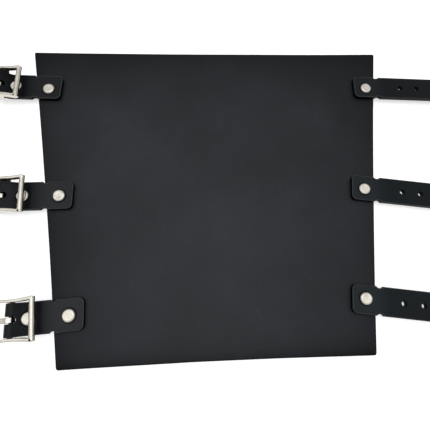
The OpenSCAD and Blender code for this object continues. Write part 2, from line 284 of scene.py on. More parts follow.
def strap_outline(width, end_side):
    """A strap's outline, anticlockwise, with round tab corners and waist notches.
    end_side is the run of points that ends its lower side."""
    s = bpy.context.scene.bracer_leather
    low = -width / 2
    half, deep = s.notch_length / 2, s.notch_depth
    radius = (half * half + deep * deep) / (2 * deep)
    spread = math.asin(half / radius)
    centre = (s.notch_at, low - radius + deep)
    notch = arc(centre, radius, QUARTER + spread, QUARTER - spread, 0.3 * MM)
    centre = (-s.tab_length + s.tab_corner, low + s.tab_corner)
    corner = arc(centre, s.tab_corner, math.pi, 1.5 * math.pi)
    side = join(
        [(-s.tab_length, 0.0)],
        line((-s.tab_length, 0.0), corner[0]),
        corner,
        line(corner[-1], notch[0]),
        notch,
        line(notch[-1], end_side[0]),
        end_side,
    )
    if abs(side[-1][1]) < 1e-9:
        upper = [(x, -y) for x, y in side[-2:0:-1]]
    else:
        upper = [(x, -y) for x, y in side[:0:-1]]
        upper = line(side[-1], upper[0])[:-1] + upper
    return side + upper


def offset(loop, distance):
    """A closed anticlockwise loop moved to its left, which is inwards."""
    out = []
    for k, point in enumerate(loop):
        before, after = loop[k - 1], loop[(k + 1) % len(loop)]
        a = Vector((point[0] - before[0], point[1] - before[1])).normalized()
        b = Vector((after[0] - point[0], after[1] - point[1])).normalized()
        mid = (a + b).normalized()
        grow = 1.0 / max(mid.dot(b), 0.6)
        out.append((point[0] - mid.y * distance * grow, point[1] + mid.x * distance * grow))
    return out


def inside(points, loop):
    """For each point, whether it lies inside the closed loop."""
    ring = np.array(loop)
    x, y = points[:, 0][:, None], points[:, 1][:, None]
    x0, y0 = ring[:, 0], ring[:, 1]
    x1, y1 = np.roll(x0, -1), np.roll(y0, -1)
    rise = np.where(y1 == y0, 1e-18, y1 - y0)
    crossed = ((y0 > y) != (y1 > y)) & (x < (x1 - x0) * (y - y0) / rise + x0)
    return crossed.sum(axis=1) % 2 == 1


def gap_to(points, loop):
    """For each point, its distance to the loop's nearest corner point."""
    ring = np.array(loop)
    return np.sqrt(((points[:, None, :] - ring[None, :, :]) ** 2).sum(-1)).min(1)


# Meshes


def new_piece(name, vertices, faces, materials, picks=None):
    """A mesh object with the given materials; picks gives each face's material."""
    mesh = bpy.data.meshes.new(name)
    mesh.from_pydata([tuple(v) for v in vertices], [], faces)
    for material in materials:
        mesh.materials.append(material)
    if picks is not None:
        mesh.polygons.foreach_set("material_index", picks)
    mesh.shade_smooth()
    mesh.validate()
    mesh.update()
    piece = bpy.data.objects.new(name, mesh)
    bpy.context.scene.collection.objects.link(piece)
    return piece


def slab(name, outer, holes, grid, half, rounding, shape, materials, wax=None, taper=0.0):
    """A sheet with rounded edges, made from its flat pattern.

    outer and holes are the pattern's loops, grid its inner points and half its half thickness.
    holes are clockwise, so that the sheet lies on their left too.
    shape turns a pattern point and a height into a place.
    materials are those of the grain side, the cut edge, the flesh side and the rim, whose lighter
    colour on a strap is a painted highlight.
    The function after the materials gives a pattern point's share of colour and sheen: where it is
    low, the leather is painted darker and duller, as painted shade.
    taper is how much narrower the holes after the first are at the bottom."""
    places, faces, picks, shares = [], [], [], []
    flat, edges, top_rims, bottom_rims, borders = [], [], [], [], []

    def put(point, height):
        places.append(shape(point[0], point[1], height))
        shares.append(wax(*point) if wax else 1.0)
        return len(places) - 1

    bulge = 0.03 * MM  # of the cut edge's middle
    border_step = 0.22 * MM  # from the rounding to the flat pattern's border
    grid_gap = 0.45 * MM  # the least distance of the grid from the borders
    turns = [math.radians(t) for t in (0.0, 22.5, 45.0, 67.5, 90.0)]
    for loop, radius in [(outer, rounding)] + [(hole, rounding * 0.5) for hole in holes]:
        up = [(radius * (1 - math.cos(t)), half - radius + radius * math.sin(t)) for t in turns]
        up.append((radius + border_step, half))
        profile = [(i, -h) for i, h in reversed(up)] + [(-bulge, 0.0)] + up
        if loop is not outer and loop is not holes[0]:
            profile = [(i - taper * (half - h) / (2 * half), h) for i, h in profile]
        rings = []
        for inset, height in profile:
            rings.append([put(point, height) for point in offset(loop, inset)])
        count = len(loop)
        for k in range(len(rings) - 1):
            low, high = profile[k], profile[k + 1]
            middle = abs(low[1] + high[1]) / 2
            pick = 1 if middle < half - 0.30 * radius else (0 if high[1] > 0 else 2)
            # the rounded top of the outer edge takes the rim material, which on a strap is a
            # painted highlight
            if pick == 0 and loop is outer and k < len(rings) - 2:
                pick = 3
            for i in range(count):
                j = (i + 1) % count
                faces.append((rings[k][i], rings[k][j], rings[k + 1][j], rings[k + 1][i]))
                picks.append(pick)
        start = len(flat)
        borders.append(offset(loop, up[-1][0]))
        flat += borders[-1]
        edges += [(start + i, start + (i + 1) % count) for i in range(count)]
        top_rims += rings[-1]
        bottom_rims += rings[0]
    inner = np.array(grid)
    keep = inside(inner, borders[0]) & (gap_to(inner, flat) > grid_gap)
    for border in borders[1:]:
        keep &= ~inside(inner, border)
    inner = [tuple(p) for p in inner[keep]]
    flat += inner
    # output type 1 leaves out what lies outside the pattern, and the holes are cleared below
    corners, _, cells, origins, _, _ = delaunay_2d_cdt(
        [Vector(p) for p in flat], edges, [], 1, 1e-9
    )
    top = top_rims + [put(p, half) for p in inner]
    bottom = bottom_rims + [put(p, -half) for p in inner]
    source = [o[0] if o else None for o in origins]
    centres = np.array(
        [[sum(corners[c][a] for c in cell) / len(cell) for a in (0, 1)] for cell in cells]
    )
    wanted = np.full(len(cells), True)
    for border in borders[1:]:
        wanted &= ~inside(centres, border)
    for cell, good in zip(cells, wanted):
        if good and all(source[c] is not None for c in cell):
            faces.append(tuple(top[source[c]] for c in cell))
            picks.append(0)
            faces.append(tuple(bottom[source[c]] for c in reversed(cell)))
            picks.append(2)
    piece = new_piece(name, places, faces, materials, picks)
    # each point's share of colour and sheen, read by the grain material: painted shade where it is
    # low
    layer = piece.data.attributes.new("wax", "FLOAT", "POINT")
    layer.data.foreach_set("value", shares)
    return piece


def spun(name, profile, segments, materials, place=None, unrest=0.0, seed=0):
    """A turned piece, whose profile is (radius, height) from the top of its axis to its bottom.
    unrest lets the wall wander a little, but never under the piece's own foot."""
    rows, vertices, faces = [], [], []
    foot = min(height for _, height in profile) + 0.2 * MM
    for radius, height in profile:
        if radius < 1e-7:
            vertices.append(Vector((0, 0, height)))
            rows.append([len(vertices) - 1])
            continue
        row = []
        for k in range(segments):
            turn = 2 * math.pi * k / segments
            spot = Vector((radius * math.cos(turn), radius * math.sin(turn), height))
            push = noise.noise(spot * 420 + Vector((seed * 7.3, 1.7, 0))) * unrest
            spot.z += max(push, 0.0) if height < foot else push
            spot.x *= 1 + push / max(radius, 1 * MM) * 0.5
            row.append(len(vertices))
            vertices.append(spot)
        rows.append(row)
    for a, b in zip(rows, rows[1:]):
        for k in range(segments):
            j = (k + 1) % segments
            if len(a) == 1:
                faces.append((a[0], b[k], b[j]))
            elif len(b) == 1:
                faces.append((a[k], b[0], a[j]))
            else:
                faces.append((a[k], b[k], b[j], a[j]))
    if place is not None:
        vertices = [place @ v for v in vertices]
    return new_piece(name, vertices, faces, materials)


def swept(path, widths, thicknesses, around):
    """Vertices and faces of a closed bar with a rounded rectangular section.
    Its path lies in the XZ plane."""
    vertices, faces, rows = [], [], []
    for k, point in enumerate(path):
        before, after = path[max(k - 1, 0)], path[min(k + 1, len(path) - 1)]
        along = Vector((after[0] - before[0], after[1] - before[1])).normalized()
        out = Vector((-along.y, along.x))
        row = []
        for n in range(around):
            turn = 2 * math.pi * (n + 0.5) / around
            c, s = math.cos(turn), math.sin(turn)
            y = math.copysign(abs(c) ** 0.5, c) * widths[k] / 2
            z = math.copysign(abs(s) ** 0.5, s) * thicknesses[k] / 2
            row.append(len(vertices))
            vertices.append(Vector((point[0] + out.x * z, y, point[1] + out.y * z)))
        rows.append(row)
    for a, b in zip(rows, rows[1:]):
        for n in range(around):
            m = (n + 1) % around
            faces.append((a[n], a[m], b[m], b[n]))
    faces.append(tuple(reversed(rows[0])))
    faces.append(tuple(rows[-1]))
    return vertices, faces


def melted(parts, voxel, rounds, keep):
    """One smooth closed mesh from several overlapping parts, which are used up."""
    joined = bpy.data.meshes.new("melted")
    vertices, faces = [], []
    for part in parts:
        start = len(vertices)
        vertices += [tuple(v.co) for v in part.data.vertices]
        faces += [tuple(start + i for i in f.vertices) for f in part.data.polygons]
    joined.from_pydata(vertices, [], faces)
    for part in parts:
        bpy.data.objects.remove(part)
    whole = bpy.data.objects.new("melted", joined)
    bpy.context.scene.collection.objects.link(whole)
    remesh = whole.modifiers.new("remesh", "REMESH")
    remesh.mode, remesh.voxel_size, remesh.use_smooth_shade = "VOXEL", voxel, True
    soften = whole.modifiers.new("smooth", "SMOOTH")
    soften.factor, soften.iterations = 0.5, rounds
    whole.modifiers.new("decimate", "DECIMATE").ratio = keep
    graph = bpy.context.evaluated_depsgraph_get()
    mesh = bpy.data.meshes.new_from_object(whole.evaluated_get(graph))
    bpy.data.objects.remove(whole)
    mesh.shade_smooth()
    return mesh


def painted_shade(mesh, amount):
    """Writes how black each point of a mesh is painted, from 0 to 1: painted shade."""
    layer = mesh.attributes.new("painted_shade", "FLOAT", "POINT")
    layer.data.foreach_set("value", [min(1.0, max(0.0, amount(v.co))) for v in mesh.vertices])


def placed(name, mesh, place, material):
    """A copy of a mesh put in its place, as a piece with one material."""
    own = mesh.copy()
    own.name = name
    own.transform(place)
    own.materials.clear()
    own.materials.append(material)
    piece = bpy.data.objects.new(name, own)
    bpy.context.scene.collection.objects.link(piece)
    return piece


def bar_turn(row):
    """The angle at which a row's buckle strap runs."""
    axis = JOINTS[f"{row}_buckle_frame_hinge"]["axis"]
    return math.atan2(-axis[0], axis[1])


def bar_place(row):
    """The matrix of a row's centre bar, with X along the strap and the bar along Y."""
    spot = JOINTS[f"{row}_buckle_frame_hinge"]["pos_m"]
    return Matrix.Translation(spot) @ Matrix.Rotation(bar_turn(row), 4, "Z")


# Node groups and materials


def node(tree, kind, at, inputs=None, **fields):
    """A shader node with its fields and inputs set."""
    made = tree.nodes.new(kind)
    made.location = at
    for field, value in fields.items():
        setattr(made, field, value)
    return feed(tree, made, inputs or {})


def feed(tree, made, inputs):
    """Sets a node's inputs to the given values, or links them to the given outputs."""
    for socket, value in inputs.items():
        connect(tree, value, made.inputs[socket])
    return made


def connect(tree, value, socket):
    if isinstance(value, bpy.types.NodeSocket):
        tree.links.new(value, socket)
    else:
        socket.default_value = value


def times(colour, share):
    return tuple(c * share for c in colour)


def ramp(tree, at, factor, stops):
    """The colour of a ramp whose stops are places with their colours."""
    made = node(tree, "ShaderNodeValToRGB", at, {"Fac": factor})
    marks = made.color_ramp.elements
    while len(marks) < len(stops):
        marks.new(0.5)
    for mark, (place, colour) in zip(marks, stops):
        mark.position = place
        mark.color = (*colour, 1.0)
    return made.outputs["Color"]


def math_node(tree, at, operation, a, b, clamp=False):
    return node(
        tree, "ShaderNodeMath", at, {0: a, 1: b}, operation=operation, use_clamp=clamp
    ).outputs[0]


def mixed(tree, at, factor, a, b):
    """A mix of two colours, each an output or a plain colour."""
    made = node(tree, "ShaderNodeMix", at, data_type="RGBA", blend_type="MIX")
    for name, value in (("Factor", factor), ("A", a), ("B", b)):
        socket = [i for i in made.inputs if i.name == name and i.enabled][0]
        connect(tree, (*value, 1.0) if isinstance(value, tuple) else value, socket)
    return [o for o in made.outputs if o.enabled][0]


def ranged(tree, at, value, source, target, **fields):
    """A value moved from one range to another."""
    sockets = ("Value", "From Min", "From Max", "To Min", "To Max")
    inputs = dict(zip(sockets, (value, *source, *target)))
    return node(tree, "ShaderNodeMapRange", at, inputs, **fields).outputs[0]


def object_coords(tree, at):
    """The piece's own coordinates."""
    return node(tree, "ShaderNodeTexCoord", at).outputs["Object"]


def noisy(tree, at, coords, scale, detail, rough=0.5, **more):
    """The outputs of a noise texture."""
    inputs = {"Vector": coords, "Scale": scale, "Detail": detail, "Roughness": rough, **more}
    return node(tree, "ShaderNodeTexNoise", at, inputs).outputs


def mapped(tree, at, coords, scale, shift=(0.0, 0.0, 0.0)):
    """Coordinates scaled and moved."""
    inputs = {"Vector": coords, "Scale": scale, "Location": shift}
    return node(tree, "ShaderNodeMapping", at, inputs).outputs[0]


def bump(tree, at, height, strength, distance):
    inputs = {"Height": height, "Strength": strength, "Distance": distance}
    return node(tree, "ShaderNodeBump", at, inputs).outputs["Normal"]


def swayed(tree, at, coords, scale, detail, amount):
    """Coordinates bent a little by noise."""
    bend = noisy(tree, at, coords, scale, detail)["Color"]
    inputs = {0: bend, 1: (amount,) * 3, 2: coords}
    at = (at[0] + 200, at[1])
    return node(tree, "ShaderNodeVectorMath", at, inputs, operation="MULTIPLY_ADD").outputs[0]


def group(name, inputs, outputs):
    """An empty shader node group of values, with its input node and its output node."""
    tree = bpy.data.node_groups.new(name, "ShaderNodeTree")
    for label, value in inputs.items():
        socket = tree.interface.new_socket(label, in_out="INPUT", socket_type="NodeSocketFloat")
        socket.default_value = value
    for label in outputs:
        tree.interface.new_socket(label, in_out="OUTPUT", socket_type="NodeSocketFloat")
    start = node(tree, "NodeGroupInput", (-900, 0))
    end = node(tree, "NodeGroupOutput", (700, 0))
    return tree, start, end


def grain_group():
    """Pebbled grain with fine creases: a height, a mask of the creases and a drift of tone."""
    tree, start, end = group(
        "Leather Grain",
        {"Pebble Scale": 900.0, "Crease Depth": 0.5, "Drift Scale": 14.0},
        ("Height", "Creases", "Drift"),
    )
    scale = start.outputs["Pebble Scale"]
    coords = object_coords(tree, (-1300, -200))
    warp = swayed(tree, (-1100, -300), coords, 160.0, 3.0, 0.0016)
    cells = node(
        tree,
        "ShaderNodeTexVoronoi",
        (-650, 100),
        {"Vector": warp, "Scale": scale, "Randomness": 0.95},
        feature="DISTANCE_TO_EDGE",
    )
    fine_scale = math_node(tree, (-850, -150), "MULTIPLY", scale, 1.9)
    fine = noisy(tree, (-650, -200), warp, fine_scale, 4.0, 0.6)["Fac"]
    crease = ranged(
        tree,
        (-400, 100),
        cells.outputs["Distance"],
        (0.0, 0.16),
        (1.0, 0.0),
        interpolation_type="SMOOTHSTEP",
    )
    deep = math_node(tree, (-150, 150), "MULTIPLY", crease, start.outputs["Crease Depth"])
    drift = noisy(tree, (-650, -500), coords, start.outputs["Drift Scale"], 5.0, 0.55)["Fac"]
    height = math_node(tree, (100, 0), "SUBTRACT", fine, deep)
    feed(tree, end, {"Height": height, "Creases": crease, "Drift": drift})
    return tree


def wear_group():
    """Fine crossing scratches and small rubbed spots, as a mask."""
    tree, start, end = group(
        "Handling Wear", {"Scratch Scale": 60.0, "Amount": 0.5}, ("Scratches", "Spots")
    )
    scale, amount = start.outputs["Scratch Scale"], start.outputs["Amount"]
    coords = object_coords(tree, (-1700, 0))
    sway = swayed(tree, (-1500, 300), coords, 22.0, 2.0, 0.02)
    masks = []
    for k, (turn, stretch) in enumerate(((0.6, 0.07), (-0.8, 0.09), (1.45, 0.06), (-1.9, 0.08))):
        y = 200 - 300 * k
        inputs = {"Vector": sway, "Angle": turn}
        turned = node(tree, "ShaderNodeVectorRotate", (-1250, y), inputs).outputs[0]
        shift = (0.13 * k, 0.29 * k, 0.0)
        long = mapped(tree, (-1100, y), turned, (stretch, 1.0, 1.0), shift)
        streak = noisy(tree, (-900, y), long, scale, 1.0, 0.4)["Fac"]
        masks.append(ranged(tree, (-700, y), streak, (0.745, 0.80), (0.0, 1.0)))
    first = math_node(tree, (-500, 100), "MAXIMUM", masks[0], masks[1])
    second = math_node(tree, (-500, -100), "MAXIMUM", masks[2], masks[3])
    every = math_node(tree, (-300, 100), "MAXIMUM", first, second)
    scratches = math_node(tree, (0, 100), "MULTIPLY", every, amount, True)
    fine = math_node(tree, (-1000, -800), "MULTIPLY", scale, 1.7)
    rubbed = noisy(tree, (-750, -800), coords, fine, 6.0, 0.7)["Fac"]
    spot = ranged(tree, (-450, -800), rubbed, (0.56, 0.74), (0.0, 1.0))
    spots = math_node(tree, (0, -600), "MULTIPLY", spot, amount)
    feed(tree, end, {"Scratches": scratches, "Spots": spots})
    return tree


def fibre_group():
    """Fine fibre lines that run along a cut edge, as a mask."""
    tree, start, end = group("Edge Fibre", {"Fibre Scale": 260.0}, ("Fibre",))
    coords = object_coords(tree, (-900, -200))
    flat = mapped(tree, (-600, -200), coords, (1.0, 1.0, 14.0))
    fibre = noisy(tree, (-300, 0), flat, start.outputs["Fibre Scale"], 5.0, 0.65)["Fac"]
    feed(tree, end, {"Fibre": fibre})
    return tree


def cloud_group():
    """Faint clouds in nickel plating, as a mask."""
    tree, start, end = group("Plating Clouds", {"Cloud Scale": 240.0}, ("Clouds",))
    coords = object_coords(tree, (-900, -200))
    clouds = noisy(tree, (-300, 0), coords, start.outputs["Cloud Scale"], 5.0, 0.6)["Fac"]
    feed(tree, end, {"Clouds": clouds})
    return tree


def use(tree, name, maker, at, values):
    """A node group that materials share, made when it is first used."""
    held = bpy.data.node_groups.get(name) or maker()
    return node(tree, "ShaderNodeGroup", at, values, node_tree=held).outputs


def once(maker):
    """A material is made when its name is first asked for, and found after that."""

    def found(name, *details, **more):
        return bpy.data.materials.get(name) or maker(name, *details, **more)

    return found


def blank(name):
    """A new material with its tree and its Principled shader."""
    material = bpy.data.materials.new(name)
    material.use_nodes = True
    return material, material.node_tree, material.node_tree.nodes["Principled BSDF"]


def marked(tree, at, name):
    """What the mesh says of a point, such as its share of wax."""
    return node(tree, "ShaderNodeAttribute", at, attribute_name=name).outputs["Fac"]


def roughened(tree, base, spots, amount):
    """Roughness with the rubbed spots added."""
    more = math_node(tree, (-400, -350), "MULTIPLY", spots, amount)
    return math_node(tree, (-200, -100), "ADD", base, more, True)


@once
def grain_leather(name, colour, scale, rough, wear, shine, tint, drift=14.0):
    """The smooth grain side of dyed leather: mottled dye, creases, scuffs and a waxed gloss.
    Where the mesh's share is low, the colour turns black and the gloss goes: painted shade and
    painted sheen."""
    material, tree, shader = blank(name)
    values = {"Pebble Scale": scale, "Crease Depth": 0.55, "Drift Scale": drift}
    grain = use(tree, "Leather Grain", grain_group, (-900, 100), values)
    values = {"Scratch Scale": 420.0, "Amount": wear}
    marks = use(tree, "Handling Wear", wear_group, (-900, -250), values)
    stops = [(0.32, times(colour, 0.72)), (0.5, colour), (0.70, times(colour, 1.38))]
    tone = ramp(tree, (-650, 300), grain["Drift"], stops)
    folds = math_node(tree, (-550, 50), "MULTIPLY", grain["Creases"], 0.35)
    creased = mixed(tree, (-350, 300), folds, tone, times(colour, 0.45))
    scuff = tuple(c * 2.6 + 0.004 for c in colour)
    scuffed = mixed(tree, (-120, 300), marks["Scratches"], creased, scuff)
    # painted shade and sheen: where the mesh's share is low the grain is black and has no gloss
    wax = marked(tree, (-300, 500), "wax")
    gloss = ranged(tree, (-350, -50), grain["Drift"], (0.3, 0.7), (rough - 0.06, rough + 0.07))
    cuts = math_node(tree, (-550, -450), "MULTIPLY", marks["Scratches"], 0.5)
    height = math_node(tree, (-350, -450), "SUBTRACT", grain["Height"], cuts)
    inputs = {
        "Base Color": mixed(tree, (0, 400), wax, (0.0, 0.0, 0.0), scuffed),
        "Specular Tint": (*tint, 1.0),
        "Specular IOR Level": math_node(tree, (0, 150), "MULTIPLY", wax, shine),
        "Roughness": roughened(tree, gloss, marks["Spots"], 0.12),
        "Normal": bump(tree, (-120, -350), height, 0.5, 0.03 * MM),
    }
    feed(tree, shader, inputs)
    return material


@once
def cut_edge(name, light, shine):
    """A cut edge, dyed black and burnished, with faint fibre lines along it.
    It takes the given colour, which on a strap's rounded top rim is lighter: a painted highlight."""
    material, tree, shader = blank(name)
    fibre = use(tree, "Edge Fibre", fibre_group, (-700, 0), {"Fibre Scale": 260.0})["Fibre"]
    stops = [(0.3, times(light, 0.45)), (0.62, light), (0.8, times(light, 1.5))]
    inputs = {
        "Base Color": ramp(tree, (-400, 150), fibre, stops),
        "Roughness": ranged(tree, (-400, -100), fibre, (0.3, 0.7), (0.3, 0.46)),
        "Specular IOR Level": shine,
        "Normal": bump(tree, (-200, -300), fibre, 0.35, 0.12 * MM),
    }
    feed(tree, shader, inputs)
    return material


@once
def flesh_side(name, colour):
    """The dyed flesh side: short matted fibres, rough and greyer than the grain side."""
    material, tree, shader = blank(name)
    coords = object_coords(tree, (-1300, -300))
    nap = noisy(tree, (-800, 150), coords, 900.0, 6.0, 0.75, Distortion=0.8)["Fac"]
    patch = noisy(tree, (-800, -150), coords, 35.0, 4.0)["Fac"]
    stops = [(0.3, times(colour, 0.45)), (0.75, times(colour, 1.6))]
    fibre = ramp(tree, (-500, 200), nap, stops)
    share = math_node(tree, (-500, -100), "MULTIPLY", patch, 0.6)
    inputs = {
        "Base Color": mixed(tree, (-200, 200), share, fibre, times(colour, 0.7)),
        "Roughness": ranged(tree, (-200, -50), patch, (0.3, 0.7), (0.82, 0.95)),
        "Specular IOR Level": 0.2,
        "Normal": bump(tree, (-200, -300), nap, 0.8, 0.3 * MM),
    }
    feed(tree, shader, inputs)
    return material


@once
def nickel(name, rough, dull=0.0, shaded=False):
    """Nickel plating: warm and bright, with hairline scratches, faint clouds and a cast surface.
    Shaded, it is painted black where the mesh says so: painted shade."""
    colour = tuple(bpy.context.scene.bracer_metal.nickel_colour)
    material, tree, shader = blank(name)
    values = {"Scratch Scale": 2600.0, "Amount": 0.8}
    marks = use(tree, "Handling Wear", wear_group, (-1000, 0), values)
    values = {"Cloud Scale": 240.0}
    cloud = use(tree, "Plating Clouds", cloud_group, (-1000, -300), values)["Clouds"]
    stops = [(0.30, times(colour, 0.86 - dull)), (0.55, colour), (0.75, times(colour, 1.06))]
    tone = ramp(tree, (-650, 250), cloud, stops)
    faint = math_node(tree, (-500, 50), "MULTIPLY", marks["Scratches"], 0.3)
    scored = mixed(tree, (-300, 250), faint, tone, times(colour, 0.6))
    # painted shade: black where the mesh's share says the light does not reach
    if shaded:
        black = marked(tree, (-300, 450), "painted_shade")
        scored = mixed(tree, (-100, 350), black, scored, (0.012, 0.012, 0.012))
    gloss = ranged(tree, (-500, -150), cloud, (0.3, 0.7), (rough - 0.04, rough + 0.08))
    inputs = {
        "Base Color": scored,
        "Metallic": 1.0,
        "Roughness": roughened(tree, gloss, marks["Spots"], 0.15),
        "Normal": bump(tree, (-250, -400), cloud, 0.25, 0.06 * MM),
    }
    feed(tree, shader, inputs)
    return material


def leathers(kind):
    """The grain side, cut edge, flesh side and top rim of the panel or of a strap; a strap's rim is
    lighter, a painted highlight.
    """
    s = bpy.context.scene.bracer_leather
    edge = cut_edge("dyed_edge", (0.0014, 0.0015, 0.0017), shine=0.12)
    flesh = flesh_side("flesh_side", tuple(s.flesh_colour))
    if kind == "panel":
        tint = (0.92, 0.96, 1.0)
        face = grain_leather(
            "panel_grain",
            tuple(s.panel_colour),
            scale=1900.0,
            rough=0.48,
            wear=0.15,
            shine=0.185,
            tint=tint,
        )
        return [face, edge, flesh, edge]
    name, colour, shine, tint = {
        "buckle": ("waxed_grain", s.buckle_strap_colour, 0.33, (0.9, 0.94, 1.0)),
        "tip": ("strap_grain", s.tip_strap_colour, 0.25, (0.78, 0.95, 1.0)),
    }[kind]
    face = grain_leather(
        name, tuple(colour), scale=2100.0, rough=0.4, wear=0.2, shine=shine, tint=tint, drift=30.0
    )
    # a strap's rounded top rim: burnished, with a lighter colour that is a painted highlight
    return [face, edge, flesh, cut_edge("burnished_rim", (0.028, 0.030, 0.033), shine=0.3)]


# Places of the rows, and points of the flat patterns


def strap_place(row, side):
    """A strap's matrix, its rivet's place on it, and its length from there.
    X lies on the strap's middle line, with zero beside the rivet."""
    swivel = Vector(JOINTS[f"{row}_{side}_strap_swivel"]["pos_m"]).xy
    if side == "buckle":
        turn = bar_turn(row)
        far = Vector(JOINTS[f"{row}_buckle_frame_hinge"]["pos_m"]).xy - swivel
        across = Vector((-math.sin(turn), math.cos(turn)))
        aside = far.dot(across)
    else:
        spots = np.array([v.co.xy for v in frame["nodes"][f"{row}_tip_strap"].data.vertices])
        spots = spots - np.array(swivel)
        far = Vector(spots[np.argmax((spots**2).sum(axis=1))])
        rough = math.atan2(far.y, far.x)
        # the strap is narrowest across its own middle line
        turns = [rough + math.radians(k * 0.02) for k in range(-150, 151)]
        turn = min(turns, key=lambda t: np.ptp(spots @ (-math.sin(t), math.cos(t))))
        reach = spots @ (-math.sin(turn), math.cos(turn))
        across = Vector((-math.sin(turn), math.cos(turn)))
        aside = (reach.max() + reach.min()) / 2
    start = swivel + across * aside
    length = far.dot(Vector((math.cos(turn), math.sin(turn))))
    place = Matrix.Translation((start.x, start.y, 0)) @ Matrix.Rotation(turn, 4, "Z")
    return place, (0.0, -aside), length


def rivet_rings(centre):
    """Pattern points round a rivet, dense where the leather dips under the cap."""
    rings = ((2.3, 16), (3.1, 22), (3.7, 30), (3.95, 36), (4.12, 36), (4.3, 36), (4.55, 36))
    points = []
    for radius, count in (*rings, (5.1, 30), (5.9, 26)):
        for k in range(count):
            turn = 2 * math.pi * (k + 0.5 * (count % 3)) / count
            way = (math.cos(turn), math.sin(turn))
            points.append(tuple(c + radius * MM * w for c, w in zip(centre, way)))
    return points


def dip(x, y, rivets):
    """How far the leather is pressed in at a point near one of the rivets."""
    metal = bpy.context.scene.bracer_metal
    away = min(math.dist((x, y), rivet) for rivet in rivets)
    rim, slope = metal.cap_size / 2 + 0.2 * MM, 0.9 * MM
    return metal.cap_sink * (1 - clamped((away - rim) / slope)) ** 2


def clamped(value):
    return min(max(value, 0.0), 1.0)


def smooth(start, end, value):
    """A smooth step from 0 to 1."""
    t = clamped((value - start) / (end - start))
    return t * t * (3 - 2 * t)


def elbow_fade(y, dark):
    """A strap's share of colour and sheen, which falls off toward the elbow end: painted shade."""
    from_y, over = -90 * MM, 170 * MM
    return 1 - dark * clamped((y - from_y) / over) ** 2


def circle(centre, radius, count=28):
    """A clockwise loop, for a hole."""
    turns = [-2 * math.pi * k / count for k in range(count)]
    return [(centre[0] + radius * math.cos(t), centre[1] + radius * math.sin(t)) for t in turns]


def clear_of(points, centres, distance):
    """The points that lie further than a distance from every centre."""
    return [p for p in points if min(math.dist(p, c) for c in centres) > distance]


def lattice(x0, x1, y0, y1, dx, dy):
    """Pattern points on a staggered grid."""
    points = []
    rows = max(1, round((y1 - y0) / dy))
    columns = max(1, round((x1 - x0) / dx))
    for j in range(rows + 1):
        for i in range(columns + 1):
            x = x0 + (x1 - x0) * (i + (0.25 if j % 2 else -0.25)) / columns
            points.append((x, y0 + (y1 - y0) * j / rows))
    return points


# Operators


class BracerMake:
    """What the bracer's operators share"""

    bl_options = {"REGISTER", "UNDO"}

    @property
    def leather(self):
        return bpy.context.scene.bracer_leather

    @property
    def metal(self):
        return bpy.context.scene.bracer_metal


class BRACER_OT_panel(BracerMake, bpy.types.Operator):
    """Cut the tapered panel, with bowed edges, burnished rims and dips for the back caps"""

    bl_idname = "bracer.panel"
    bl_label = "Panel"

    def execute(self, context):
        s, metal = self.leather, self.metal
        mesh = frame["nodes"]["panel"].data
        spots = [v.co.xy for v in mesh.vertices]
        top, low = max(p.y for p in spots), min(p.y for p in spots)
        elbow = max(p.x for p in spots if p.y > top - 0.05 * MM)
        wrist = max(p.x for p in spots if p.y < low + 0.05 * MM)
        corners = [Vector(c) for c in ((-wrist, low), (wrist, low), (elbow, top), (-elbow, top))]
        outer = []
        soft = 1.6 * MM  # how far the corners are rounded off along each edge
        for k, a in enumerate(corners):
            b = corners[(k + 1) % 4]
            way = (b - a).normalized()
            side = Vector((-way.y, way.x))
            length = (b - a).length
            count = round(length / (2.5 * MM))
            for n in range(count + 1):
                t = soft / length + (1 - 2 * soft / length) * n / count
                ripple = 0.12 * MM * noise.noise(Vector((t * 5.0, k * 3.7, 0.4)))
                p = a + way * length * t + side * (s.panel_bow * 4 * t * (1 - t) + ripple)
                outer.append((p.x, p.y))
            last, after = Vector(outer[-1]), corners[(k + 2) % 4] - b
            first = b + after.normalized() * soft
            for t in (0.25, 0.5, 0.75):
                p = last * (1 - t) ** 2 + b * 2 * t * (1 - t) + first * t * t
                outer.append((p.x, p.y))
        rivets = [
            Vector(JOINTS[f"{row}_{side}_strap_swivel"]["pos_m"]).xy
            for row in ROWS
            for side in ("buckle", "tip")
        ]
        holes = [circle(r, metal.post_size / 2 + HOLE_GAP) for r in rivets]
        grid = lattice(-elbow, elbow, low, top, 3.6 * MM, 3.6 * MM)
        grid = clear_of(grid, rivets, 6.6 * MM)
        for r in rivets:
            grid += rivet_rings(r)
        half = s.thickness / 2

        def shape(x, y, height):
            ease = clamped((elbow * 0.86 - abs(x) - 18 * MM) / (30 * MM))
            wave = noise.noise(Vector((x * 11, y * 13, 0.3))) * s.panel_wave * ease
            if height < 0:
                height += dip(x, y, rivets)
                wave = max(wave, 0.0)
            return Vector((x, y, half + height + wave))

        slope = (elbow - wrist) / (top - low)

        # painted shade: the grain's colour and sheen fall off toward each edge, leaving a painted
        # sheen in the middle
        def wax(x, y):
            edge = wrist + (y - low) * slope
            gaps = (edge + x, edge - x, top - y, y - low)
            share = 1.0
            for gap, dark, reach in zip(gaps, s.edge_shade, s.edge_reach):
                share *= 1 - dark * math.exp(-max(gap, 0.0) / reach)
            return share

        materials = leathers("panel")
        piece = slab(
            "panel_leather", outer, holes, grid, half, s.edge_round, shape, materials, wax
        )
        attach(piece, "panel")
        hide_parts("panel")
        return {"FINISHED"}


